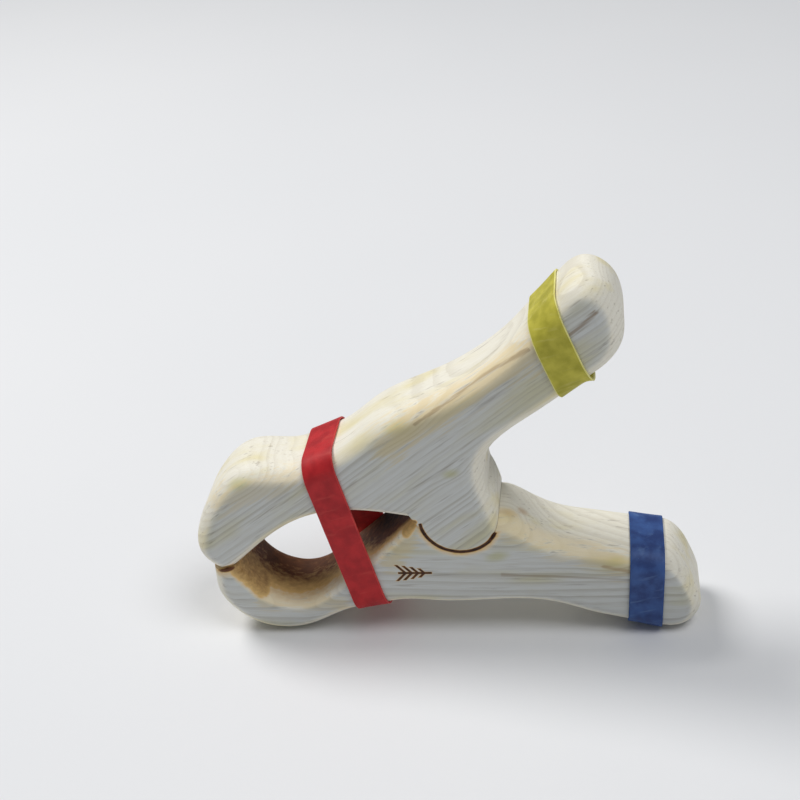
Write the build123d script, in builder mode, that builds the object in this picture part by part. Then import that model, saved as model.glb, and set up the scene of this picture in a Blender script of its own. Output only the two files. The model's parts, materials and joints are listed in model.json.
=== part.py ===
"""Large carved wooden clothespin: two thick pine halves, one with a rounded
knuckle that rolls in a seat in the other, held shut by a flat rubber band.

Row frame: X along the pin (jaws at -X, handles at +X), Z up, Y across the
board. It stands on the outer edge of the lower half. Millimetres."""

import os
from math import cos, radians, sin

from build123d import *

os.makedirs("parts", exist_ok=True)

# ---- driving sizes -------------------------------------------------------
board = 19.0  # thickness of the planed board both halves are cut from
rest_tilt = 15.01  # the pin's centre line rises this much from jaws to handles
stand_x = -5.44  # where the notch's point comes in the row frame
stand_z = 31.525

# Outline sizes in the pin's own frame: x along the centre line, z across it,
# the origin at the point of the notch in the throat.
jaw_reach = 52.0  # notch to the jaw tips
jaw_inner = 43.5  # notch to the inner end of the jaws' contact
jaw_outer = 49.2  # notch to the outer end of the jaws' contact
jaw_level = -0.7  # height of the line where the jaws meet
jaw_gap = 0.04  # what is left between the closed jaws
bulge = 22.6  # half height over the jaws
pinch = 20.3  # half height under the clamping band
handle_reach = 54.6  # notch to the handle ends
handle_spread = 44.4  # half height over the handle ends

knuckle_radius = 8.5
knuckle_play = 0.05  # radial play of the knuckle in its seat
knuckle_inset = 1.1  # from the notch to the near side of the knuckle
knuckle_z = -1.9  # height of the knuckle's centre
knuckle_x = knuckle_inset + knuckle_radius
neck_angle = 27  # where the knuckle's round runs out into its neck
lip_angle = -24.5  # where the seat ends in its lip
notch_angle = 188  # where knuckle and seat meet the notch

upper_throat = 7.0  # depth of the throat cut into the upper half
lower_throat = 14.2  # and into the lower half

upper_round = 5.0  # sanded radius of the upper half's outer edges
lower_round = 4.4  # the same on the lower half, whose jaw is slimmer
throat_round = 3.0  # sanded radius round the throat
lower_throat_round = min(2.6, 0.43 * (pinch - lower_throat))  # limited by the wall

band_width = 7.5
band_thickness = 0.5
band_cut = 60.0  # taller than any band stands
band_seat = 0.01  # the bands' inner faces stand off the wood by this
clamp_x = -16.25  # middle of the clamping band along the pin
clamp_lean = 3.1  # each band sits a little askew
upper_band_inset = 12.2  # handle bands, measured in from the handle ends
upper_band_lean = 11.7
upper_band_skew = 6.3  # and its back lies nearer the handle's end
lower_band_inset = 12.05
lower_band_lean = -18.4
lower_band_skew = -1.0

half_board = board / 2

upper_band_x = handle_reach - upper_band_inset
lower_band_x = handle_reach - lower_band_inset


def seat(x, z, slope, spare):
    """The straight stretch under a band, as its start and its end: it has its
    middle at x, z and reaches past the band by spare on each side."""
    reach = band_width / 2 + spare
    dx, dz = reach * cos(radians(slope)), reach * sin(radians(slope))
    return ((x - dx, z - dz), (x + dx, z + dz))


upper_pinch = seat(clamp_x + 0.55, pinch + 0.1, 8.1, 0.5)
lower_pinch = seat(clamp_x - 0.75, -pinch - 0.65, -3.3, 0.8)
upper_grip_top = seat(upper_band_x - 2.1, handle_spread - 5.65, 32.3, 3.65)
upper_grip_under = seat(upper_band_x - 0.1, handle_spread - 23.4, 21.8, 3.55)
lower_grip_top = seat(lower_band_x - 0.4, -handle_spread + 22.85, -25.1, 4.1)
lower_grip_under = seat(lower_band_x - 5.3, -handle_spread + 3.95, -28.7, 2.8)
upper_grip_z = handle_spread - 13.8  # middle of each handle under its band
lower_grip_z = -handle_spread + 11.4


def outline_plane(x=0.0, z=0.0, lean=0.0, skew=0.0):
    """Plane of the outline at a point of the pin's own frame, facing -Y.

    lean turns it in the outline, skew swings its back away from the jaws."""
    tilt = radians(rest_tilt)
    turn = radians(rest_tilt + lean)
    return Plane(
        origin=(
            stand_x + x * cos(tilt) - z * sin(tilt),
            0,
            stand_z + x * sin(tilt) + z * cos(tilt),
        ),
        x_dir=(cos(turn), 0, sin(turn)),
        z_dir=(0, -1, 0),
    ).rotated((0, skew, 0))


pin = outline_plane()


def along(stretch):
    (x0, z0), (x1, z1) = stretch
    return (x1 - x0, z1 - z0)


def back_along(stretch):
    dx, dz = along(stretch)
    return (-dx, -dz)


def on_knuckle(angle, play=0.0):
    """Point of the knuckle's circle, or of its seat with the play added."""
    r = knuckle_radius + play
    return (
        knuckle_x + r * cos(radians(angle)),
        knuckle_z + r * sin(radians(angle)),
    )


def rim(part, curves):
    """Edges of both side faces that follow the given outline curves."""
    found = []
    for curve in curves:
        middle = curve @ 0.5
        for side in (-half_board, half_board):
            spot = pin.from_local_coords(Vector(middle.X, middle.Y, side))
            found.append(min(part.edges(), key=lambda e: (e @ 0.5 - spot).length))
    return found


# ---- upper half ----------------------------------------------------------
# Each half is its sawn outline, cut from a blank whose rim is sanded round
# only along the outside, so that the jaws' contact and the knuckle stay crisp.
with BuildPart() as upper_half:
    with BuildSketch(pin):
        with BuildLine():
            lead = Line((-38.5, -14.0), (-jaw_outer, jaw_level))
            nose = Spline(
                lead @ 1,
                (-jaw_reach + 0.8, 3.6),
                (-jaw_reach + 3.8, 11.2),
                (-jaw_reach + 10.0, 17.8),
                (-32.0, bulge - 0.4),
                upper_pinch[0],
                tangents=(lead % 1, along(upper_pinch)),
                tangent_scalars=(1.0, 1.0),
            )
            pinched = Line(*upper_pinch)
            back = Spline(
                pinched @ 1,
                (-1.2, pinch + 4.5),
                (15.0, 27.7),
                (25.0, 30.4),
                upper_grip_top[0],
                tangents=(along(upper_pinch), along(upper_grip_top)),
                tangent_scalars=(1.0, 1.0),
            )
            grip_top = Line(*upper_grip_top)
            end = Spline(
                grip_top @ 1,
                (handle_reach - 3.2, handle_spread - 0.3),
                (handle_reach + 1.2, handle_spread - 4.0),
                (handle_reach + 2.0, handle_spread - 10.4),
                (handle_reach - 0.2, handle_spread - 16.8),
                upper_grip_under[1],
                tangents=(along(upper_grip_top), back_along(upper_grip_under)),
                tangent_scalars=(1.0, 1.0),
            )
            grip_under = Line(upper_grip_under[1], upper_grip_under[0])
            under = Spline(
                grip_under @ 1,
                (25.5, 14.4),
                (19.6, 9.8),
                (knuckle_x + knuckle_radius + 0.1, 2.0),
                tangents=(back_along(upper_grip_under), (0.0, -1.0)),
                tangent_scalars=(1.0, 1.0),
            )
            neck = Line(under @ 1, ((under @ 1).X, -14.0))
            Line(neck @ 1, lead @ 0)
        make_face()
    extrude(amount=half_board, both=True)
    fillet(
        rim(
            upper_half.part,
            (lead, nose, pinched, back, grip_top, end, grip_under, under, neck),
        ),
        upper_round,
    )
    with BuildPart(mode=Mode.INTERSECT) as upper_cut:
        with BuildSketch(pin):
            with BuildLine():
                meet = Line((-jaw_inner, jaw_level), (-jaw_outer, jaw_level))
                Polyline(
                    meet @ 1,
                    (-70.0, jaw_level),
                    (-70.0, 60.0),
                    (70.0, 60.0),
                    (70.0, 10.0),
                    (30.0, 10.0),
                )
                relief = Spline(
                    (30.0, 10.0),
                    (22.0, 9.6),
                    (18.2, 6.6),
                    on_knuckle(neck_angle),
                    tangents=((-1.0, 0.1), (-0.15, -1.0)),
                    tangent_scalars=(1.0, 1.0),
                )
                knuckle = CenterArc(
                    (knuckle_x, knuckle_z),
                    knuckle_radius,
                    neck_angle,
                    notch_angle - 360 - neck_angle,
                )
                notch = Line(knuckle @ 1, (0.2, 0.2))
                throat = Spline(
                    notch @ 1,
                    (-11.7, 5.5),
                    (-23.0, upper_throat),
                    (-33.0, 4.4),
                    (-jaw_inner, jaw_level),
                    tangents=((-1.0, 0.5), (-0.9, -0.42)),
                    tangent_scalars=(1.0, 1.0),
                )
            make_face()
        extrude(amount=half_board + 1, both=True)
    fillet(rim(upper_half.part, (throat,)), throat_round)
upper_half.part.label = "upper_half"

# ---- lower half ----------------------------------------------------------
with BuildPart() as lower_half:
    low = jaw_level - jaw_gap
    lip = on_knuckle(lip_angle, knuckle_play)
    with BuildSketch(pin):
        with BuildLine():
            lead = Line((-45.0, 14.0), (-jaw_outer - 0.6, low))
            nose = Spline(
                lead @ 1,
                (-jaw_reach + 0.5, -7.0),
                (-jaw_reach + 2.5, -14.4),
                (-44.0, -20.2),
                (-33.5, -bulge + 0.1),
                lower_pinch[0],
                tangents=(lead % 1, along(lower_pinch)),
                tangent_scalars=(1.0, 1.0),
            )
            pinched = Line(*lower_pinch)
            back = Spline(
                pinched @ 1,
                (-2.6, -pinch - 3.7),
                (10.0, -27.0),
                (22.0, -31.0),
                lower_grip_under[0],
                tangents=(along(lower_pinch), along(lower_grip_under)),
                tangent_scalars=(1.0, 1.0),
            )
            grip_under = Line(*lower_grip_under)
            end = Spline(
                grip_under @ 1,
                (handle_reach - 5.6, -handle_spread - 0.2),
                (handle_reach - 2.0, -handle_spread + 2.9),
                (handle_reach - 1.5, -handle_spread + 10.4),
                (handle_reach - 2.8, -handle_spread + 16.4),
                lower_grip_top[1],
                tangents=(along(lower_grip_under), back_along(lower_grip_top)),
                tangent_scalars=(1.0, 1.0),
            )
            grip_top = Line(lower_grip_top[1], lower_grip_top[0])
            top = Spline(
                grip_top @ 1,
                (28.0, -14.6),
                (22.6, -9.6),
                (lip[0], lip[1] + 0.1),
                tangents=(back_along(lower_grip_top), (-1.0, 0.25)),
                tangent_scalars=(1.0, 1.0),
            )
            rise = TangentArc(top @ 1, (7.5, 9.0), tangent=top % 1)
            Polyline(rise @ 1, (7.5, 14.0), lead @ 0)
        make_face()
    extrude(amount=half_board, both=True)
    fillet(
        rim(
            lower_half.part,
            (lead, nose, pinched, back, grip_under, end, grip_top, top, rise),
        ),
        lower_round,
    )
    with BuildPart(mode=Mode.INTERSECT) as lower_cut:
        with BuildSketch(pin):
            with BuildLine():
                cup = CenterArc(
                    (knuckle_x, knuckle_z),
                    knuckle_radius + knuckle_play,
                    0,
                    notch_angle - 360,
                )
                peak = Line(cup @ 1, (0.0, -0.1))
                throat = Spline(
                    peak @ 1,
                    (-9.3, -5.3),
                    (-22.0, -11.6),
                    (-34.0, -lower_throat - 0.4),
                    (-41.0, -9.5),
                    (-jaw_inner, low),
                    tangents=((-1.0, -0.5), (-0.2, 1.0)),
                    tangent_scalars=(1.0, 1.0),
                )
                Polyline(
                    throat @ 1,
                    (-70.0, low),
                    (-70.0, -60.0),
                    (70.0, -60.0),
                    (70.0, (cup @ 0).Y),
                    cup @ 0,
                )
            make_face()
        extrude(amount=half_board + 1, both=True)
    fillet(rim(lower_half.part, (throat,)), lower_throat_round)
lower_half.part.label = "lower_half"


def grown(upper, lower, by):
    """The four corners between two stretches, each moved out by a distance."""
    corners = []
    for stretch, side in ((upper, 1), (lower, -1)):
        dx, dz = along(stretch)
        size = (dx * dx + dz * dz) ** 0.5
        shift = (-dz / size * side * by, dx / size * side * by)
        reach = (dx / size * 4, dz / size * 4)
        (x0, z0), (x1, z1) = stretch
        corners.append((x0 + shift[0] - reach[0], z0 + shift[1] - reach[1]))
        corners.append((x1 + shift[0] + reach[0], z1 + shift[1] + reach[1]))
    return corners[0], corners[1], corners[3], corners[2]


def ring_body(upper, lower, rounding, by):
    """The rounded bar between two stretches, its faces moved out by a distance."""
    with BuildPart() as bar:
        with BuildSketch(pin):
            Polygon(*grown(upper, lower, by), align=None)
        extrude(amount=half_board + by, both=True)
        corners = grown(upper, lower, by)
        sides = (
            Edge.make_line(corners[0], corners[1]),
            Edge.make_line(corners[3], corners[2]),
        )
        long_edges = []
        for edge in sides:
            middle = edge @ 0.5
            for side in (-1, 1):
                spot = pin.from_local_coords(
                    Vector(middle.X, middle.Y, side * (half_board + by))
                )
                long_edges.append(
                    min(bar.part.edges(), key=lambda e: (e @ 0.5 - spot).length)
                )
        fillet(long_edges, rounding + by)
    return bar.part


# ---- rubber bands --------------------------------------------------------
with BuildPart() as clamping_band:
    add(ring_body(upper_pinch, lower_pinch, lower_round, band_thickness))
    add(
        ring_body(upper_pinch, lower_pinch, lower_round, band_seat),
        mode=Mode.SUBTRACT,
    )
    with BuildSketch(outline_plane(clamp_x, 0.0, -clamp_lean)):
        Rectangle(band_width, band_cut)
    extrude(amount=board, both=True, mode=Mode.INTERSECT)
clamping_band.part.label = "clamping_band"

with BuildPart() as upper_handle_band:
    add(ring_body(upper_grip_top, upper_grip_under, upper_round, band_thickness))
    add(
        ring_body(upper_grip_top, upper_grip_under, upper_round, band_seat),
        mode=Mode.SUBTRACT,
    )
    with BuildSketch(
        outline_plane(upper_band_x, upper_grip_z, upper_band_lean, upper_band_skew)
    ):
        Rectangle(band_width, band_cut)
    extrude(amount=board, both=True, mode=Mode.INTERSECT)
upper_handle_band.part.label = "upper_handle_band"

with BuildPart() as lower_handle_band:
    add(ring_body(lower_grip_top, lower_grip_under, lower_round, band_thickness))
    add(
        ring_body(lower_grip_top, lower_grip_under, lower_round, band_seat),
        mode=Mode.SUBTRACT,
    )
    with BuildSketch(
        outline_plane(lower_band_x, lower_grip_z, lower_band_lean, lower_band_skew)
    ):
        Rectangle(band_width, band_cut)
    extrude(amount=board, both=True, mode=Mode.INTERSECT)
lower_handle_band.part.label = "lower_handle_band"

export_step(upper_half.part, "parts/upper_half.step")
export_step(lower_half.part, "parts/lower_half.step")
export_step(clamping_band.part, "parts/clamping_band.step")
export_step(upper_handle_band.part, "parts/upper_handle_band.step")
export_step(lower_handle_band.part, "parts/lower_handle_band.step")
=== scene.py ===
import json
from math import cos, exp, pi, radians, sin, tau

import bpy
from mathutils import Matrix, Vector
from mathutils.bvhtree import BVHTree


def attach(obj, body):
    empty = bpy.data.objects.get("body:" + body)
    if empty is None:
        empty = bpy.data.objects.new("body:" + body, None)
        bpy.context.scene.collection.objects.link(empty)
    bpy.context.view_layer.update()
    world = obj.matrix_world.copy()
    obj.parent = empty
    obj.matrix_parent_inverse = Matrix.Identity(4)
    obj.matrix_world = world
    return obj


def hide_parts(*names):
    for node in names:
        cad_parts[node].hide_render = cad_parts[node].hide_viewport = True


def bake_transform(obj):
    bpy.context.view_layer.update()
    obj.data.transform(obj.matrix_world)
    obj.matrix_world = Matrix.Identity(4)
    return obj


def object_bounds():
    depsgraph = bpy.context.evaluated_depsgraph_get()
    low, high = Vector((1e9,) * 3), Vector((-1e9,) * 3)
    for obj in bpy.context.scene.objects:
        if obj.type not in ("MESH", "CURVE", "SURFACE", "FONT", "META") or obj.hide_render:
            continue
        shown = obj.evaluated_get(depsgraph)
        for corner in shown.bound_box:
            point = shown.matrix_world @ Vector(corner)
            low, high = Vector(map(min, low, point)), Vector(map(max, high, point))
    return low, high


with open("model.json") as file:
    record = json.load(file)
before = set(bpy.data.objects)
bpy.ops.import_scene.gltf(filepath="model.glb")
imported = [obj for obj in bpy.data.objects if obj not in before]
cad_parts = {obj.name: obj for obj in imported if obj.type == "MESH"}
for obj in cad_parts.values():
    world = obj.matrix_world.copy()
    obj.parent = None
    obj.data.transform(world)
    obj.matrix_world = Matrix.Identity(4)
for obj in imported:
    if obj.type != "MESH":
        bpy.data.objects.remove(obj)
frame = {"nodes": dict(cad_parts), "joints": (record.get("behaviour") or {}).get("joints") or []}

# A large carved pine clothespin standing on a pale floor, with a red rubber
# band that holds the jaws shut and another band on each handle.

MM = 0.001
cad_low, cad_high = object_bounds()

# ---- the pin's own frame -------------------------------------------------
# x runs along the pin and z across it, in millimetres from the notch's point.
HINGE = Vector(frame["joints"][0]["pos_m"])
KNUCKLE = (9.6, -1.9)  # the hinge's place
KNUCKLE_RADIUS = 8.5
BOARD_FACE = 9.5  # the flat sides lie at y = -9.5 and 9.5
REST_TILT = radians(15.01)
ALONG = Vector((cos(REST_TILT), 0, sin(REST_TILT)))
ACROSS = Vector((-sin(REST_TILT), 0, cos(REST_TILT)))
NOTCH = HINGE - ALONG * KNUCKLE[0] * MM - ACROSS * KNUCKLE[1] * MM


def pale(r, g, b):
    """A colour given as it looks on screen, from 0 to 255, made linear."""
    linear = []
    for v in (r, g, b):
        v /= 255
        linear.append(v / 12.92 if v <= 0.04045 else ((v + 0.055) / 1.055) ** 2.4)
    return (*linear, 1.0)


# ---- node trees ----------------------------------------------------------
class Tree:
    """Short calls that add nodes to one material and wire them up."""

    def __init__(self, name):
        self.material = bpy.data.materials.new(name)
        self.material.use_nodes = True
        self.nodes = self.material.node_tree.nodes
        self.links = self.material.node_tree.links
        self.shader = self.nodes["Principled BSDF"]

    def plug(self, value, socket):
        if isinstance(value, bpy.types.NodeSocket):
            self.links.new(value, socket)
        elif value is not None:
            socket.default_value = value

    def math(self, operation, a, b=None, c=None, clamp=False):
        node = self.nodes.new("ShaderNodeMath")
        node.operation = operation
        node.use_clamp = clamp
        for value, socket in zip((a, b, c), node.inputs):
            self.plug(value, socket)
        return node.outputs[0]

    def add(self, a, b):
        return self.math("ADD", a, b)

    def times(self, a, b):
        return self.math("MULTIPLY", a, b)

    def less(self, a, b):
        return self.math("SUBTRACT", a, b)

    def size(self, value):
        return self.math("ABSOLUTE", value)

    def greatest(self, first, *others):
        for other in others:
            first = self.math("MAXIMUM", first, other)
        return first

    def length(self, a, b):
        """Length of a vector in the plane."""
        return self.math("SQRT", self.add(self.times(a, a), self.times(b, b)))

    def dot(self, a, b):
        node = self.nodes.new("ShaderNodeVectorMath")
        node.operation = "DOT_PRODUCT"
        self.plug(a, node.inputs[0])
        self.plug(b, node.inputs[1])
        return node.outputs["Value"]

    def vector(self, x, y, z):
        node = self.nodes.new("ShaderNodeCombineXYZ")
        for value, socket in zip((x, y, z), node.inputs):
            self.plug(value, socket)
        return node.outputs[0]

    def noise(self, vector, scale=1.0, detail=3.0, rough=0.5, warp=0.0):
        node = self.nodes.new("ShaderNodeTexNoise")
        self.plug(vector, node.inputs["Vector"])
        node.inputs["Scale"].default_value = scale
        node.inputs["Detail"].default_value = detail
        node.inputs["Roughness"].default_value = rough
        node.inputs["Distortion"].default_value = warp
        return node.outputs["Fac"]

    def step(self, value, low, high, out_low=0.0, out_high=1.0):
        """Runs smoothly from one output to the other as value passes by."""
        node = self.nodes.new("ShaderNodeMapRange")
        node.interpolation_type = "SMOOTHSTEP"
        for given, key in (
            (value, "Value"),
            (low, "From Min"),
            (high, "From Max"),
            (out_low, "To Min"),
            (out_high, "To Max"),
        ):
            self.plug(given, node.inputs[key])
        return node.outputs["Result"]

    def ramp(self, value, *stops):
        """Colours by value; stops are (place, colour)."""
        node = self.nodes.new("ShaderNodeValToRGB")
        self.plug(value, node.inputs["Fac"])
        points = node.color_ramp.elements
        while len(points) < len(stops):
            points.new(1.0)
        for point, (place, colour) in zip(points, stops):
            point.position = place
            point.color = colour
        return node.outputs["Color"]

    def mix(self, share, a, b, blend="MIX"):
        node = self.nodes.new("ShaderNodeMix")
        node.data_type = "RGBA"
        node.blend_type = blend
        self.plug(share, node.inputs["Factor"])
        self.plug(a, node.inputs["A"])
        self.plug(b, node.inputs["B"])
        return node.outputs["Result"]

    def bump(self, height, distance, strength=1.0):
        node = self.nodes.new("ShaderNodeBump")
        node.inputs["Strength"].default_value = strength
        node.inputs["Distance"].default_value = distance
        self.plug(height, node.inputs["Height"])
        self.links.new(node.outputs["Normal"], self.shader.inputs["Normal"])


class PinTree(Tree):
    """A node tree that knows the pin's own frame: x, y and z in millimetres."""

    def __init__(self, name):
        super().__init__(name)
        spot = self.nodes.new("ShaderNodeTexCoord")
        from_notch = self.nodes.new("ShaderNodeVectorMath")
        from_notch.operation = "SUBTRACT"
        self.plug(spot.outputs["Object"], from_notch.inputs[0])
        self.plug(NOTCH, from_notch.inputs[1])
        metres = from_notch.outputs[0]
        self.x = self.dot(metres, ALONG / MM)
        self.y = self.dot(metres, Vector((0, 1 / MM, 0)))
        self.z = self.dot(metres, ACROSS / MM)
        self.from_middle = self.size(self.y)
        self.sideways = self.size(self.dot(spot.outputs["Normal"], Vector((0, 1, 0))))

    def turned(self, angle):
        """Millimetres along and across a direction at an angle to the pin."""
        c, s = cos(radians(angle)), sin(radians(angle))
        along = self.add(self.times(self.x, c), self.times(self.z, s))
        across = self.less(self.times(self.z, c), self.times(self.x, s))
        return along, across

    def from_segment(self, start, end):
        """Distance from a straight line between two points of the outline."""
        (x0, z0), (x1, z1) = start, end
        dx, dz = x1 - x0, z1 - z0
        px, pz = self.less(self.x, x0), self.less(self.z, z0)
        on = self.add(self.times(px, dx), self.times(pz, dz))
        share = self.math("DIVIDE", on, dx * dx + dz * dz, clamp=True)
        far_x = self.less(px, self.times(share, dx))
        far_z = self.less(pz, self.times(share, dz))
        return self.length(far_x, far_z)

    def from_point(self, x, y, z, reach):
        """Distance from a point of the pin, where reach stretches it along x."""
        along = self.math("DIVIDE", self.less(self.x, x), reach)
        parts = (along, self.less(self.y, y), self.less(self.z, z))
        squares = [self.times(part, part) for part in parts]
        return self.math("SQRT", self.add(self.add(squares[0], squares[1]), squares[2]))


# ---- wood ----------------------------------------------------------------
EARLY = pale(240, 236, 222)
LATE = pale(170, 158, 134)
STRAW = pale(230, 218, 164)
FIBRE = pale(206, 190, 152)
RESIN = pale(120, 98, 70)
SIDE_SHADE = pale(220, 226, 237)  # painted shade: a greyer, cooler tone laid over the flat sides
GOLD = pale(214, 176, 84)
OLIVE = pale(208, 200, 122)
TAN = pale(188, 152, 104)
BROWN = pale(150, 118, 82)
HONEY = pale(238, 212, 150)
# From pale wood to near black, for scorching and painted shade alike.
SCORCH_SHADE_RAMP = (
    (0.0, EARLY),
    (0.22, pale(222, 186, 122)),
    (0.5, pale(108, 64, 34)),
    (0.85, pale(26, 17, 14)),
)
RING_SPACING = 1.25  # between growth rings, millimetres
RELIEF = 0.08 * MM  # depth of the planed grain


def pine(name, grain, pith, seed, spots, streaks, scorch_shade_mask):
    """Planed pine: rings about a pith line, fibre, resin streaks, stains, painted
    shade on the flat sides, and what the saw and the branding iron have scorched, with painted
    shade in the throat and joint lines."""
    tree = PinTree(name)
    along, across = tree.turned(grain)

    def grained(along_scale, across_scale, shift):
        """The wood's own space, drawn out along the grain."""
        return tree.vector(
            tree.times(along, along_scale),
            tree.times(across, across_scale),
            tree.add(tree.times(tree.y, across_scale), shift),
        )

    # Growth rings: distance from a pith line that wanders a little.
    drift = tree.noise(grained(0.02, 0.07, seed), detail=2.0)
    sway = tree.times(tree.less(drift, 0.5), 3.4)
    wave = tree.math("SINE", tree.times(tree.add(along, seed * 9), 0.045))
    rise = tree.add(sway, tree.times(wave, 0.6))
    depth = tree.add(tree.less(across, pith[0]), rise)
    side = tree.add(tree.less(tree.y, pith[1]), tree.times(sway, 0.6))
    for x, y, z, size, _ in spots:
        near = tree.from_point(x, y, z, 2.2)
        depth = tree.add(depth, tree.step(near, 0.0, size * 2.2, size * 0.5, 0.0))
    radius = tree.length(depth, side)
    uneven = tree.noise(tree.vector(tree.times(radius, 0.33), seed, 0.0), detail=1.0)
    count = tree.times(tree.add(radius, tree.times(uneven, 2.0)), 1 / RING_SPACING)
    ring = tree.math("FRACT", count)
    late = tree.times(tree.step(ring, 0.30, 0.88), tree.step(ring, 0.93, 1.0, 1.0, 0.0))
    bold = tree.noise(
        tree.vector(tree.times(along, 0.015), tree.times(radius, 0.42), seed + 3.0),
        detail=2.0,
    )
    late = tree.times(late, tree.step(bold, 0.32, 0.66, 0.14, 1.0))
    flat_side = tree.step(tree.sideways, 0.80, 0.98)
    late = tree.times(late, tree.add(tree.times(flat_side, 0.5), 0.5))

    fibre = tree.noise(grained(0.22, 4.2, seed), detail=5.0, rough=0.62)
    streak = tree.noise(grained(0.075, 1.25, seed + 7), detail=3.0, rough=0.55)
    yellow = tree.noise(grained(0.035, 0.16, seed + 2), detail=3.0)
    colour = tree.mix(tree.step(yellow, 0.48, 0.74, 0.0, 0.70), EARLY, STRAW)
    colour = tree.mix(tree.times(late, 0.40), colour, LATE)
    colour = tree.mix(tree.step(fibre, 0.35, 0.75, 0.0, 0.22), colour, FIBRE)
    colour = tree.mix(tree.step(streak, 0.58, 0.76, 0.0, 0.40), colour, RESIN)

    for x, y, z, size, tint in spots:
        near = tree.from_point(x, y, z, 1.9)
        near = tree.add(near, tree.times(tree.less(fibre, 0.5), size * 1.1))
        colour = tree.mix(tree.step(near, size * 0.1, size, 0.55, 0.0), colour, tint)
    front = tree.step(tree.y, -7.0, -3.0, 1.0, 0.0)
    for start, end, size, share, tint in streaks:
        near = tree.from_segment(start, end)
        near = tree.add(near, tree.times(tree.less(streak, 0.5), size * 3.0))
        stain = tree.times(tree.step(near, size * 0.2, size, share, 0.0), front)
        colour = tree.mix(stain, colour, tint)
    # Painted shade: the flat sides are dulled to a greyer, cooler tone.
    colour = tree.mix(flat_side, colour, tree.mix(1.0, colour, SIDE_SHADE, "MULTIPLY"))

    # Scorching from the saw and the branding iron, with painted shade in the throat, the notch
    # and the joint lines, through one ramp.
    ragged = tree.noise(grained(0.45, 0.9, seed + 5), detail=4.0, rough=0.6)
    scorch_and_shade = tree.times(scorch_shade_mask(tree), tree.step(ragged, 0.15, 0.80, 0.72, 1.18))
    scorched_and_shaded = tree.ramp(scorch_and_shade, *SCORCH_SHADE_RAMP)
    colour = tree.mix(tree.step(scorch_and_shade, 0.04, 0.22), colour, scorched_and_shaded)

    tree.plug(colour, tree.shader.inputs["Base Color"])
    matt = tree.add(tree.step(fibre, 0.2, 0.8, 0.50, 0.66), tree.times(scorch_and_shade, 0.18))
    tree.plug(matt, tree.shader.inputs["Roughness"])
    tree.shader.inputs["Specular IOR Level"].default_value = 0.35
    relief = tree.add(tree.times(late, 0.45), tree.times(fibre, 0.60))
    tree.bump(tree.less(relief, tree.times(streak, 0.35)), RELIEF, 0.7)
    return tree.material


def cut_face(tree):
    """1 on sawn outline faces, 0 on the flat sides, between on the rounds."""
    return tree.step(tree.sideways, 0.35, 0.96, 1.0, 0.0)


def near_sides(tree):
    """1 close to the board's two flat sides, 0 on the hidden faces between."""
    return tree.step(tree.from_middle, 7.9, 9.3)


def throat_scorch_shade(tree):
    """Scorched throat under painted shade: pale along the front rim, browner
    and darker deeper in, and darkest by the notch."""
    # Painted shade: darker from the front rim back into the throat, over the scorching.
    deep = tree.step(tree.y, -8.6, 6.0, 0.13, 0.58)
    # Painted shade in the notch.
    by_notch = tree.step(tree.x, -17.0, -9.0, 0.0, 0.35)
    notch = tree.times(by_notch, tree.step(tree.y, -8.8, -4.0))
    # The throat runs from the jaws' inner end to the notch.
    past_jaws = tree.step(tree.x, -44.4, -43.2)
    before_notch = tree.step(tree.x, 0.0, 1.2, 1.0, 0.0)
    inside = tree.times(past_jaws, before_notch)
    return tree.times(tree.times(cut_face(tree), tree.add(deep, notch)), inside)


def knuckle_line(tree):
    """Distance in the outline from the line where knuckle and seat meet."""
    from_centre = tree.length(tree.less(tree.x, KNUCKLE[0]), tree.less(tree.z, KNUCKLE[1]))
    ring = tree.size(tree.less(from_centre, KNUCKLE_RADIUS))
    # The line stops at the notch on the left and at the lip on the right.
    past_notch = tree.step(tree.z, -0.6, 0.6, 0.0, 6.0)
    above_lip = tree.step(tree.z, -7.8, -5.8, 0.0, 6.0)
    past_lip = tree.times(tree.step(tree.x, 11.0, 13.0), above_lip)
    return tree.add(ring, tree.greatest(past_notch, past_lip))


def fir_mark(tree):
    """A small generic fir sprig branded into the lower half's front face."""
    x, z, slope, half = -4.6, -13.0, -15.2, 3.5
    needles = ((2.1, 1.0), (0.7, 1.4), (-0.7, 1.75), (-2.1, 2.0))  # root, reach
    along, across = tree.turned(slope)
    c, s = cos(radians(slope)), sin(radians(slope))
    u = tree.less(along, x * c + z * s)
    v = tree.size(tree.less(across, z * c - x * s))
    sprig = tree.greatest(v, tree.less(tree.size(u), half))
    for root, reach in needles:
        slant = tree.size(tree.add(tree.less(u, root), tree.times(v, 0.9)))
        needle = tree.greatest(tree.times(slant, 0.74), tree.less(v, reach))
        sprig = tree.math("MINIMUM", sprig, needle)
    face = tree.step(tree.y, 0.05 - BOARD_FACE, 0.3 - BOARD_FACE, 1.0, 0.0)
    front = tree.times(face, tree.step(tree.sideways, 0.9, 0.99))
    return tree.times(tree.step(sprig, 0.12, 0.46, 0.72, 0.0), front)


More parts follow.
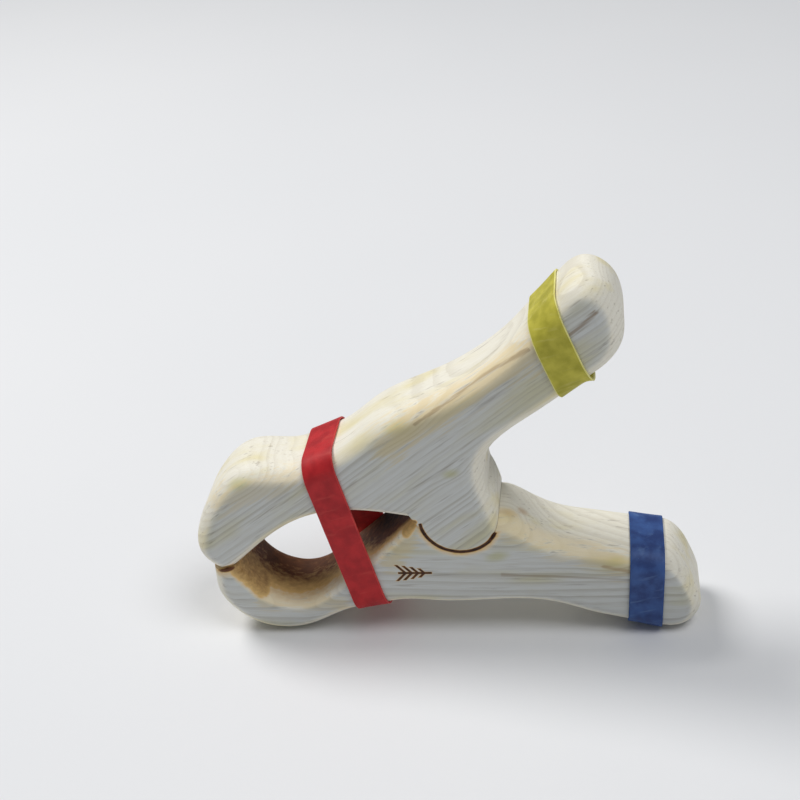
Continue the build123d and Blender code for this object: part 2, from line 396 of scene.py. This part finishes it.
def lower_scorch_shade(tree):
    above_outside = tree.step(tree.z, -18.0, -16.0)
    throat = tree.times(throat_scorch_shade(tree), above_outside)
    line = knuckle_line(tree)
    # Knuckle seam: scorching and a painted shadow of the gap between the halves, in a wider
    # scorched halo.
    seam = tree.times(tree.step(line, 0.15, 0.75, 0.8, 0.0), near_sides(tree))
    halo = tree.step(line, 0.3, 2.6, 0.20, 0.0)
    # Jaw line: scorching and a painted shadow of the gap between the jaws, with wider scorching
    # beside it.
    jaw = tree.from_segment((-42.8, -1.0), (-49.0, -0.7))
    lips = tree.times(tree.step(jaw, 0.1, 0.7, 0.55, 0.0), near_sides(tree))
    lips = tree.add(lips, tree.step(jaw, 0.5, 3.6, 0.18, 0.0))
    corner = tree.from_segment((-43.5, -1.5), (-40.5, -9.0))
    corner = tree.step(corner, 0.4, 3.6, 0.36, 0.0)
    peak = tree.from_segment((-3.0, -2.6), (0.0, -0.1))
    peak = tree.step(peak, 0.3, 1.8, 0.30, 0.0)
    return tree.greatest(throat, seam, halo, lips, corner, peak, fir_mark(tree))


def upper_scorch_shade(tree):
    below_outside = tree.step(tree.z, 9.0, 11.0, 1.0, 0.0)
    throat = tree.times(throat_scorch_shade(tree), below_outside)
    # Knuckle seam and jaw line: scorching and a painted shadow of the gaps between the halves.
    seam = tree.step(knuckle_line(tree), 0.15, 0.6, 0.75, 0.0)
    jaw = tree.from_segment((-42.8, -0.5), (-49.0, -0.7))
    jaw = tree.step(jaw, 0.2, 1.0, 0.55, 0.0)
    wedge = tree.from_segment((0.2, 0.2), (-10.0, 5.2))
    wedge = tree.step(wedge, 0.2, 1.0, 0.45, 0.0)
    lines = tree.times(tree.greatest(seam, jaw, wedge), near_sides(tree))
    return tree.greatest(throat, lines)


def dress(node, material):
    """Gives a CAD node its finished material."""
    mesh = frame["nodes"][node].data
    mesh.materials.clear()
    mesh.materials.append(material)


# Stained spots around small knots: x, y, z, size and colour.
LOWER_SPOTS = (
    (18.8, -4.5, -6.6, 2.6, GOLD),
    (21.5, -2.0, -8.6, 1.8, TAN),
    (38.0, -8.6, -22.6, 2.0, OLIVE),
    (14.5, -9.5, -13.5, 2.0, OLIVE),
)
UPPER_SPOTS = (
    (5.0, -8.6, 23.6, 2.4, OLIVE),
    (-34.0, -8.4, 19.8, 2.2, OLIVE),
    (12.0, -9.4, 10.0, 1.5, OLIVE),
)
# Stains along a line on the front: start, end, half width, share and colour.
LOWER_STREAKS = (
    ((17.0, -6.2), (39.5, -24.0), 4.2, 0.42, HONEY),
    ((-41.0, -11.5), (-24.0, -17.0), 3.0, 0.45, HONEY),
    ((-2.0, -3.4), (-9.0, -9.0), 3.0, 0.55, HONEY),
    ((36.0, -22.6), (42.0, -26.0), 0.7, 0.55, TAN),
    ((14.0, -18.6), (44.0, -28.6), 0.5, 0.40, BROWN),
)
UPPER_STREAKS = (
    ((2.0, 20.6), (38.0, 33.0), 5.0, 0.60, HONEY),
    ((9.0, 23.6), (37.0, 33.6), 0.45, 0.45, BROWN),
    ((46.0, 34.8), (52.0, 37.8), 0.9, 0.65, BROWN),
    ((-41.0, 16.6), (-22.0, 17.8), 3.4, 0.35, HONEY),
)
lower_pine = pine(
    "pine_lower", -15.2, (-46.0, 24.0), 1.7, LOWER_SPOTS, LOWER_STREAKS, lower_scorch_shade
)
upper_pine = pine(
    "pine_upper", 21.0, (-58.0, 9.0), 6.3, UPPER_SPOTS, UPPER_STREAKS, upper_scorch_shade
)
dress("lower_half", lower_pine)
dress("upper_half", upper_pine)


# ---- rubber bands --------------------------------------------------------
def rubber(name, face, deep, dusty, seed):
    """Matt coloured rubber, a little mottled, scuffed and dusty, with fine pores."""
    tree = PinTree(name)
    spot = tree.vector(tree.x, tree.y, tree.add(tree.z, seed))
    cloud = tree.noise(spot, scale=0.30, detail=3.0)
    speck = tree.noise(spot, scale=2.6, detail=4.0, rough=0.65)
    colour = tree.mix(tree.step(cloud, 0.30, 0.70), deep, face)
    drawn = tree.vector(
        tree.times(tree.x, 0.12),
        tree.times(tree.y, 0.35),
        tree.add(tree.times(tree.z, 0.9), seed),
    )
    scuff = tree.noise(drawn, detail=3.0)
    colour = tree.mix(tree.step(scuff, 0.56, 0.74, 0.0, 0.40), colour, dusty)
    colour = tree.mix(tree.step(speck, 0.60, 0.82, 0.0, 0.40), colour, dusty)
    tree.plug(colour, tree.shader.inputs["Base Color"])
    tree.plug(tree.step(speck, 0.25, 0.75, 0.46, 0.62), tree.shader.inputs["Roughness"])
    tree.shader.inputs["Specular IOR Level"].default_value = 0.28
    tree.bump(tree.add(speck, tree.times(cloud, 2.0)), 0.05 * MM, 0.7)
    return tree.material


AXIS_ROUNDS = 6  # rounds of finding a band's axis
EDGE_FACING = 0.8  # cosine to the axis above which a face is on a cut edge


def band_axis(mesh):
    """A band's centre and the direction across its width, which is the normal
    of its two cut edges, found in a few rounds from the pin's own direction."""
    centre = sum((v.co for v in mesh.vertices), Vector()) / len(mesh.vertices)
    guess = ALONG
    for _ in range(AXIS_ROUNDS):
        total = Vector()
        for face in mesh.polygons:
            side = face.normal.dot(guess)
            if abs(side) > EDGE_FACING:
                total += face.normal * face.area * (1 if side > 0 else -1)
        guess = total.normalized()
    return centre, guess


AROUND = 288  # stations round a band
ACROSS_FLAT = 12  # spans across a band's flat
RIM = 0.22  # how far in a band's rounded edges start, millimetres
RIM_RISE = 0.30  # the same out through its thickness, as a share of it
RIM_STEPS = (67, 45, 22)  # degrees, the points round a rounded edge
RAY_INSET = 0.02  # rays stay this far inside a band's cut edges, millimetres
RAY_LEAD = 0.05  # and start again this far past its inner face


def edge_profile(width):
    """Places across a band, from -width/2 to width/2, and how far out through
    the band's thickness each lies, as a closed loop with rounded edges."""
    half = width / 2
    flat = [(half - RIM) * (2 * k / ACROSS_FLAT - 1) for k in range(ACROSS_FLAT + 1)]
    outer = [(w, 1.0) for w in flat]
    turn = [radians(a) for a in RIM_STEPS]
    right = [(half - RIM + RIM * cos(a), 1 - RIM_RISE + RIM_RISE * sin(a)) for a in turn]
    down = [(w, 1 - t) for w, t in reversed(right)]
    inner = [(w, 0.0) for w in reversed(flat)]
    left = [(-w, t) for w, t in reversed(right + down)]
    return outer + right + down + inner + left


def band_mesh(name, node, material, edge_material, lift):
    """Rebuilds a CAD band as a finer loop whose cut edges are rounded; lift
    gives how far a point moves out from the CAD band, in millimetres, by its
    angle and its place across."""
    mesh = frame["nodes"][node].data
    centre, axis = band_axis(mesh)
    corners = [v.co for v in mesh.vertices]
    tree = BVHTree.FromPolygons(corners, [f.vertices for f in mesh.polygons])
    outward = (ACROSS - axis * ACROSS.dot(axis)).normalized()
    sideways = axis.cross(outward)
    spread = [(corner - centre).dot(axis) for corner in corners]
    low, high = min(spread), max(spread)
    centre += axis * (low + high) / 2
    width = (high - low) / MM
    profile = edge_profile(width)
    safe = (width / 2 - RAY_INSET) * MM
    verts = []
    for k in range(AROUND):
        angle = tau * k / AROUND
        way = outward * cos(angle) + sideways * sin(angle)
        for w, t in profile:
            start = centre + axis * max(-safe, min(safe, w * MM))
            inner = tree.ray_cast(start, way)[0]
            outer = tree.ray_cast(inner + way * RAY_LEAD * MM, way)[0]
            spot = inner.lerp(outer, t) + axis * (w * MM - (start - centre).dot(axis))
            verts.append(spot + way * lift(angle, 2 * w / width) * MM)
    count = len(profile)
    faces = []
    for k in range(AROUND):
        for j in range(count):
            a, b = k * count, (k + 1) % AROUND * count
            faces.append((a + j, a + (j + 1) % count, b + (j + 1) % count, b + j))
    made = bpy.data.meshes.new(name)
    made.from_pydata([tuple(v) for v in verts], [], faces)
    made.materials.append(material)
    made.materials.append(edge_material)
    flat = ACROSS_FLAT + 1
    rounds = (count - 2 * flat) // 2
    for face in made.polygons:
        j = face.index % count
        face.use_smooth = True
        on_edge = flat - 1 <= j < flat + rounds or j >= 2 * flat + rounds - 1
        face.material_index = 1 if on_edge else 0
    made.validate()
    made.update()
    piece = bpy.data.objects.new(name, made)
    bpy.context.scene.collection.objects.link(piece)
    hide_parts(node)
    return piece


def bell(angle, middle, reach):
    """1 at the middle, an angle round the band, falling to 0 over reach."""
    away = (angle - radians(middle) + pi) % tau - pi
    return exp(-((away / radians(reach)) ** 2))


def snug(angle, across):
    """Slight unevenness of a stretched band, in millimetres: soft ripples, and
    edges that stand out a little more than the middle."""
    ripple = 0.035 * sin(5 * angle + 0.6) + 0.02 * sin(13 * angle + across * 2.0)
    return 0.05 + ripple + 0.05 * across * across


LIP_HEIGHT = 1.5  # of the curled lip, millimetres
LIP_PLACE, LIP_REACH = 158, 22  # degrees round the band
LIP_START = 0.35  # where it starts to lift, from the band's middle to its edge


def curled(angle, across):
    """The upper handle's band lifts off at one edge in a small curled lip."""
    edge = max(0.0, (across - LIP_START) / (1 - LIP_START)) ** 2
    return snug(angle, across) + LIP_HEIGHT * edge * bell(angle, LIP_PLACE, LIP_REACH)


# Each band has one set of colours for its face and one for its cut edges.
red, red_edge, yellow, yellow_edge, blue, blue_edge = (
    rubber(name, pale(*face), pale(*deep), pale(*dusty), float(seed))
    for seed, (name, face, deep, dusty) in enumerate(
        (
            ("red_rubber", (192, 38, 42), (164, 26, 32), (202, 74, 66)),
            ("red_rubber_edge", (206, 66, 62), (182, 48, 50), (220, 110, 100)),
            ("yellow_rubber", (200, 191, 74), (168, 161, 50), (216, 208, 124)),
            ("yellow_rubber_edge", (236, 230, 150), (214, 206, 112), (246, 242, 190)),
            ("blue_rubber", (62, 92, 150), (44, 64, 116), (104, 134, 180)),
            ("blue_rubber_edge", (58, 92, 150), (40, 68, 124), (100, 134, 182)),
        )
    )
)

clamp = band_mesh("clamping_rubber_band", "clamping_band", red, red_edge, snug)
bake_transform(clamp)

upper_band = band_mesh("upper_rubber_band", "upper_handle_band", yellow, yellow_edge, curled)
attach(upper_band, "upper")

lower_band = band_mesh("lower_rubber_band", "lower_handle_band", blue, blue_edge, snug)
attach(lower_band, "lower")


# ---- floor, light and camera ---------------------------------------------
FLOOR_REACH = 4.0  # metres from the middle to each side
FLOOR_DROP = 0.02 * MM  # the floor lies this far under the pin's feet


def floor():
    tree = PinTree("pale_floor")
    spot = tree.vector(tree.x, tree.y, tree.z)
    cloud = tree.noise(spot, scale=0.006, detail=2.0)
    colour = tree.mix(cloud, pale(226, 227, 229), pale(232, 232, 233))
    tree.plug(colour, tree.shader.inputs["Base Color"])
    tree.shader.inputs["Roughness"].default_value = 0.85
    tree.shader.inputs["Specular IOR Level"].default_value = 0.1
    mesh = bpy.data.meshes.new("floor")
    signs = ((-1, -1), (1, -1), (1, 1), (-1, 1))
    corners = [(x * FLOOR_REACH, y * FLOOR_REACH, 0.0) for x, y in signs]
    mesh.from_pydata(corners, [], [(0, 1, 2, 3)])
    mesh.materials.append(tree.material)
    ground = bpy.data.objects.new("floor", mesh)
    ground.location.z = -FLOOR_DROP
    bpy.context.scene.collection.objects.link(ground)


def area_light(name, offset, size, power, colour):
    """A round soft light that faces the pin's middle from an offset."""
    light = bpy.data.lights.new(name, "AREA")
    light.shape = "DISK"
    light.size = size
    light.energy = power
    light.color = colour
    holder = bpy.data.objects.new(name, light)
    offset = Vector(offset)
    holder.location = (cad_low + cad_high) / 2 + offset
    holder.rotation_euler = (-offset).to_track_quat("-Z", "Y").to_euler()
    bpy.context.scene.collection.objects.link(holder)


def light_up():
    area_light("key", (-0.58, 0.30, 0.96), 0.50, 9.4, (1.0, 0.99, 0.97))
    area_light("front_top", (0.45, -0.26, 1.00), 0.60, 4.8, (0.97, 0.98, 1.0))
    world = bpy.data.worlds.new("studio")
    world.use_nodes = True
    sky = world.node_tree.nodes["Background"]
    sky.inputs["Color"].default_value = (0.88, 0.93, 1.0, 1.0)
    sky.inputs["Strength"].default_value = 0.20
    bpy.context.scene.world = world


def add_camera():
    """The camera looks down on the pin from the front and a little to the right."""
    azimuth, elevation, roll = radians(10.06), radians(31.02), radians(-6.68)
    aim, distance = Vector((-7.7, 3.9, 54.8)) * MM, 304 * MM
    level = cos(elevation)
    back = Vector((sin(azimuth) * level, -cos(azimuth) * level, sin(elevation)))
    lens = bpy.data.cameras.new("camera")
    lens.sensor_width = 36.0
    lens.lens = 63.0
    lens.clip_start = 0.01
    camera = bpy.data.objects.new("camera", lens)
    facing = (-back).to_track_quat("-Z", "Y").to_matrix()
    turn = facing @ Matrix.Rotation(roll, 3, "Z")
    camera.matrix_world = Matrix.Translation(aim + back * distance) @ turn.to_4x4()
    bpy.context.scene.collection.objects.link(camera)
    bpy.context.scene.camera = camera


floor()
light_up()
add_camera()
bpy.context.scene.view_settings.view_transform = "Standard"
